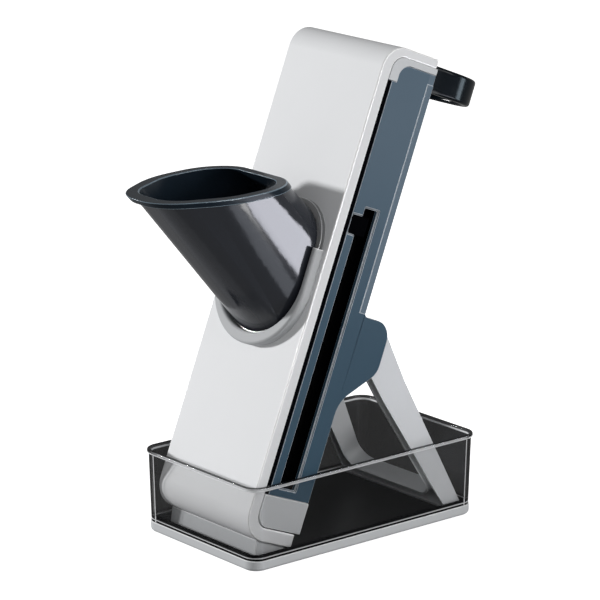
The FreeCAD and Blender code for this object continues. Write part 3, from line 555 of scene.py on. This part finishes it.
class DressShell(bpy.types.Operator):
    """White front shell"""
    bl_idname = "slicer.shell"
    bl_label = "Front shell"

    def execute(self, context):
        paint = moulded_plastic("white_satin", colours().white, roughness=0.55, grain=0.03, shine=0.15)
        # The roundings get a lighter white as a painted highlight.
        edge = moulded_plastic("white_edge_highlight", colours().white_edge_highlight, roughness=0.2, grain=0.0, shine=0.8)
        eased("front_shell", paint, sizes().shell_edge, segments=4, edge_highlight_paint=edge, clamp=False)
        return {"FINISHED"}


class DressGreyMouldings(bpy.types.Operator):
    """Light grey end blocks, foot, stand and tray base, and the collar in that grey darkened as painted shade
    """
    bl_idname = "slicer.grey_mouldings"
    bl_label = "Grey mouldings"

    def execute(self, context):
        paint = moulded_plastic("grey_matt", colours().grey, roughness=0.42, grain=0.06)
        # The roundings get a lighter grey as a painted highlight.
        edge = moulded_plastic("grey_edge_highlight", colours().grey_edge_highlight, roughness=0.55, grain=0.03, shine=0.12)
        for node in ("top_end_block", "bottom_end_block", "front_foot", "stand_frame"):
            eased(node, paint, sizes().moulding_edge, edge_highlight_paint=edge)
        # The collar's grey is darkened as painted shade.
        collar_shaded_tone = shaded(colours().grey, factor=0.85)
        darker = moulded_plastic("grey_painted_shade", collar_shaded_tone, roughness=0.55, grain=0.03, shine=0.12)
        eased("chute_collar", darker, sizes().moulding_edge, edge_highlight_paint=edge)
        eased("tray_base", paint, sizes().moulding_edge, edge_highlight_paint=edge)
        return {"FINISHED"}


class DressSideFrames(bpy.types.Operator):
    """Slate side frames, the crossbar between them and the carriage plate"""
    bl_idname = "slicer.side_frames"
    bl_label = "Side frames"

    def execute(self, context):
        tones = colours()
        # A dimmed share of the edge colour paints a highlight on the slot's ledge.
        ledge_highlight_tone = shaded(tones.slate_edge_highlight, factor=0.3)
        paint = side_frame_plastic("slate_satin", tones.slate, tones.slate_shade, tones.strip, ledge_highlight_tone)
        edge = moulded_plastic("slate_edge_highlight", tones.slate_edge_highlight, roughness=0.4, grain=0.03)
        for side in SIDES:
            eased(side + "_side_frame", paint, sizes().frame_edge, segments=2, edge_highlight_paint=edge, clamp=False)
        # The crossbar and carriage get the darkened slate, a painted shade.
        plain = moulded_plastic("slate_plain", tones.slate_shade, roughness=0.4, grain=0.06, shine=0.15)
        for node in ("rear_crossbar", "carriage_plate"):
            eased(node, plain, sizes().frame_edge)
        return {"FINISHED"}


class DressGuides(bpy.types.Operator):
    """Black guide strips, spring covers and bushes, so dark and dull that they also serve as painted shade in
    the slots and gaps
    """
    bl_idname = "slicer.guides"
    bl_label = "Guides"

    def execute(self, context):
        # Black with no shine, partly painted shade in the slots and gaps.
        paint = moulded_plastic("black_satin", colours().black, roughness=0.5, grain=0.06, shine=0.0)
        for side in SIDES:
            for name in ("guide_strip", "spring_cover", "guide_bush"):
                eased("%s_%s" % (side, name), paint, sizes().frame_edge, segments=2)
        return {"FINISHED"}


class DressChute(bpy.types.Operator):
    """Smoky feed chute with its dark rim and clear flange"""
    bl_idname = "slicer.chute"
    bl_label = "Feed chute"

    def execute(self, context):
        tones = colours()
        smoke = gloss_plastic("smoky_gloss", tones.smoke, roughness=0.11)
        rim = gloss_plastic("navy_rim", shaded(tones.navy, factor=0.95), roughness=0.2, shine=0.08)
        # The rim's roundings get a lighter tone as a painted highlight.
        rim_edge_highlight = gloss_plastic("rim_edge_highlight", tones.rim_edge_highlight, roughness=0.2)
        clear = smoky_clear("flange_clear", tones.tray_tint, alpha=0.15, skin=0.02)
        # The flange's roundings get painted glints in the glint colour.
        flange_glint_paint = smoky_clear("flange_edge_glint", tones.glint, alpha=0.6, skin=0.02)
        eased("chute_tube", smoke, sizes().tray_edge)
        eased("chute_liner", rim, sizes().chute_edge, edge_highlight_paint=rim_edge_highlight, clamp=False)
        eased("chute_flange", clear, sizes().tray_edge, edge_highlight_paint=flange_glint_paint)
        return {"FINISHED"}


class DressHandle(bpy.types.Operator):
    """Glossy push handle"""
    bl_idname = "slicer.handle"
    bl_label = "Push handle"

    def execute(self, context):
        paint = gloss_plastic("navy_gloss", shaded(colours().navy, factor=0.3), roughness=0.12, shine=0.08)
        eased("press_handle", paint, sizes().handle_edge, corner=60.0)
        return {"FINISHED"}


class DressTray(bpy.types.Operator):
    """Smoky bin"""
    bl_idname = "slicer.tray"
    bl_label = "Tray bin"

    def execute(self, context):
        paint = tray_plastic("tray_smoke", colours().tray_tint, colours().glint)
        eased("tray_bin", paint, sizes().tray_edge)
        return {"FINISHED"}


class DressSteel(bpy.types.Operator):
    """Bright blade, pins and fasteners, and rods painted near-black as shade in the slots"""
    bl_idname = "slicer.steel"
    bl_label = "Steel pieces"

    def execute(self, context):
        paint = brushed_steel("bright_steel", colours().steel)
        for node in ("slicing_blade", "blade_rivets", "handle_screws", "crossbar_screws"):
            painted(node, paint)
        slot_shade = slot_shade_finish("rod_slot_shade")
        for side in SIDES:
            painted(side + "_guide_rod", slot_shade)
            painted(side + "_hinge_pin", paint)
        return {"FINISHED"}


def spring_tree(paint):
    """Node tree of a coil: a spiral, leaned with the slicer and swept with the wire."""
    tree = bpy.data.node_groups.new("return_spring_coil", "GeometryNodeTree")
    kinds = {"Coil radius": "Float", "Wire radius": "Float", "Turns": "Float", "Height": "Float",
             "Foot": "Vector"}
    sockets = {}
    for label, kind in kinds.items():
        socket = tree.interface.new_socket(label, in_out="INPUT", socket_type="NodeSocket" + kind)
        sockets[label] = socket.identifier
    tree.interface.new_socket("Mesh", in_out="OUTPUT", socket_type="NodeSocketGeometry")
    entry = tree.nodes.new("NodeGroupInput")

    def add(kind, links, **values):
        node = tree.nodes.new("GeometryNode" + kind)
        for name, socket in links.items():
            tree.links.new(socket, node.inputs[name])
        for name, value in values.items():
            node.inputs[name.replace("_", " ")].default_value = value
        return node

    spiral = add("CurveSpiral", {
        "Rotations": entry.outputs["Turns"], "Start Radius": entry.outputs["Coil radius"],
        "End Radius": entry.outputs["Coil radius"], "Height": entry.outputs["Height"]}, Resolution=COIL_STEPS)
    leaned = add("Transform", {"Geometry": spiral.outputs[0], "Translation": entry.outputs["Foot"]},
                 Rotation=(-LEAN, 0, 0))
    wire = add("CurvePrimitiveCircle", {"Radius": entry.outputs["Wire radius"]}, Resolution=WIRE_SIDES)
    sweep = add("CurveToMesh", {"Curve": leaned.outputs[0], "Profile Curve": wire.outputs[0]}, Fill_Caps=True)
    smooth = add("SetShadeSmooth", {"Geometry": sweep.outputs[0]})
    real = add("RealizeInstances", {"Geometry": smooth.outputs[0]})
    finish = add("SetMaterial", {"Geometry": real.outputs[0]}, Material=paint.material)
    leave = tree.nodes.new("NodeGroupOutput")
    tree.links.new(finish.outputs[0], leave.inputs[0])
    return tree, sockets


class DressSprings(bpy.types.Operator):
    """Return springs on the guide rods"""
    bl_idname = "slicer.springs"
    bl_label = "Return springs"

    def execute(self, context):
        size = sizes()
        # The springs get the near-black painted shade of the slots.
        tree, sockets = spring_tree(slot_shade_finish("spring_slot_shade"))
        for side, sign in SIDES.items():
            foot = on_slicer(sign * size.rod_across, size.rod_depth, size.spring_low + size.wire_radius)
            piece = link(side + "_return_coil", bpy.data.meshes.new(side + "_return_coil"))
            coil = piece.modifiers.new("coil", "NODES")
            coil.node_group = tree
            coil[sockets["Coil radius"]] = size.coil_radius
            coil[sockets["Wire radius"]] = size.wire_radius
            coil[sockets["Turns"]] = float(size.coil_turns)
            coil[sockets["Height"]] = size.spring_high - size.spring_low - 2 * size.wire_radius
            coil[sockets["Foot"]] = foot
            settle(piece)
            stands_for(piece, side + "_return_spring")
            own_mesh(piece)
        return {"FINISHED"}


# Stage

WORLD_STRENGTH = 0.285
FLOOR_REACH = 30.0
FLOOR_DROP = 0.0002
FLOOR_GLOW = 0.88

CHUTE_SIDE = (0.044, -0.067, 0.245)
COOL_WHITE = (0.85, 0.90, 1.0)
LAMPS = {
    "key": {"place": (-2.26, -1.94, 0.82), "aim": (0, -0.02, 0.2), "width": 0.28, "power": 76},
    "side": {"place": (0.95, -0.25, 0.62), "aim": (0.05, 0.02, 0.3), "width": 0.4, "power": 1.3},
    "fill": {"place": (1.05, 0.50, 0.42), "aim": (0.0, 0.05, 0.1), "width": 0.4, "power": 4.9},
}

# A card shows only in glossy surfaces, and the handle's card on the handle alone.
CARDS = {
    "chute_card": {"place": (0.475, 0.295, 0.10), "aim": CHUTE_SIDE, "width": 0.30, "height": 0.2,
                   "power": 2.2, "tone": (0.90, 0.91, 1.0)},
    "handle_card": {"place": (0.376, 0.57, 0.172), "aim": (0.04, 0.10, 0.33), "width": 0.13, "height": 0.3,
                    "power": 1.6, "tone": (0.72, 0.88, 1.0)},
    "dim_card": {"place": (0.43, 0.02, -0.09), "aim": CHUTE_SIDE, "width": 0.17, "height": 0.2,
                 "power": 0.17, "tone": COOL_WHITE},
    "low_card": {"place": (-0.18, -0.19, -0.19), "aim": (0.03, -0.05, 0.19), "width": 0.34,
                 "power": 0.05, "tone": COOL_WHITE},
    "edge_card": {"place": (0.59, 0.01, 0.2), "aim": (0.03, 0.0, 0.2), "width": 0.3, "height": 0.5,
                  "power": 4.8},
}


def soft_light(name, place, aim, width, power, height=None, tone=(1, 1, 1)):
    """A rectangular light that the camera doesn't see, square unless a height is given."""
    lamp = bpy.data.lights.new(name, "AREA")
    lamp.shape = "RECTANGLE"
    lamp.size = width
    lamp.size_y = height or width
    lamp.energy = power
    lamp.color = tone
    light = bpy.data.objects.new(name, lamp)
    light.location = place
    light.rotation_euler = (Vector(aim) - Vector(place)).to_track_quat("-Z", "Y").to_euler()
    light.visible_camera = False
    bpy.context.scene.collection.objects.link(light)
    return light


class SetStage(bpy.types.Operator):
    """Floor, light and camera"""
    bl_idname = "slicer.stage"
    bl_label = "Stage"

    def execute(self, context):
        stage = context.scene.slicer_stage
        self.make_floor(stage)
        self.make_lights(context.scene)
        self.make_camera(context.scene, stage)
        return {"FINISHED"}

    def make_floor(self, stage):
        mesh = bpy.data.meshes.new("floor")
        form = bmesh.new()
        bmesh.ops.create_grid(form, x_segments=1, y_segments=1, size=FLOOR_REACH)
        bmesh.ops.translate(form, verts=form.verts, vec=(0, 0, -FLOOR_DROP))
        form.to_mesh(mesh)
        form.free()
        floor = link("floor", mesh)
        paint = Paint("pale_floor", Base_Color=rgba(stage.floor), Roughness=0.85, Specular_IOR_Level=0.1,
                      Emission_Color=rgba(stage.floor), Emission_Strength=FLOOR_GLOW)
        mesh.materials.append(paint.material)
        floor.visible_diffuse = False
        floor.visible_glossy = False

    def make_lights(self, scene):
        world = bpy.data.worlds.new("studio")
        world.use_nodes = True
        world.node_tree.nodes["Background"].inputs["Color"].default_value = (1, 1, 1, 1)
        world.node_tree.nodes["Background"].inputs["Strength"].default_value = WORLD_STRENGTH
        scene.world = world
        scene.view_settings.view_transform = "Standard"
        for name, values in LAMPS.items():
            soft_light(name, **values)
        cards = {name: soft_light(name, **values) for name, values in CARDS.items()}
        for card in cards.values():
            card.visible_diffuse = False
        lit = bpy.data.collections.new("handle_lit")
        lit.objects.link(bpy.data.objects["press_handle_moulding"])
        cards["handle_card"].light_linking.receiver_collection = lit

    def make_camera(self, scene, stage):
        azimuth, elevation = math.radians(stage.azimuth), math.radians(stage.elevation)
        back = Vector((math.sin(azimuth) * math.cos(elevation), -math.cos(azimuth) * math.cos(elevation),
                       math.sin(elevation)))
        lens = bpy.data.cameras.new("camera")
        lens.lens = stage.lens
        lens.sensor_width = 36.0
        lens.clip_end = 100.0
        camera = bpy.data.objects.new("camera", lens)
        camera.location = Vector(stage.target) + back * stage.distance
        camera.rotation_euler = back.to_track_quat("Z", "Y").to_euler()
        scene.collection.objects.link(camera)
        scene.camera = camera


class SlicerPanel(bpy.types.Panel):
    """Shows a button for each of the slicer's dressing steps"""
    bl_idname = "VIEW3D_PT_slicer"
    bl_label = "Push slicer"
    bl_space_type = "VIEW_3D"
    bl_region_type = "UI"
    bl_category = "Slicer"

    def draw(self, context):
        for step in STEPS:
            self.layout.operator(step.bl_idname)


STEPS = (DressShell, DressGreyMouldings, DressSideFrames, DressGuides, DressChute, DressHandle, DressTray,
         DressSteel, DressSprings, SetStage)
GROUPS = {"slicer_colours": SlicerColours, "slicer_sizes": SlicerSizes, "slicer_stage": SlicerStage}


def register():
    for item in (*GROUPS.values(), *STEPS, SlicerPanel):
        bpy.utils.register_class(item)
    for name, group in GROUPS.items():
        setattr(bpy.types.Scene, name, PointerProperty(type=group))


def unregister():
    for name in GROUPS:
        delattr(bpy.types.Scene, name)
    for item in (SlicerPanel, *reversed(STEPS), *reversed(GROUPS.values())):
        bpy.utils.unregister_class(item)


def main():
    register()
    for step in STEPS:
        group, name = step.bl_idname.split(".")
        getattr(getattr(bpy.ops, group), name)()


if __name__ == "__main__":
    main()
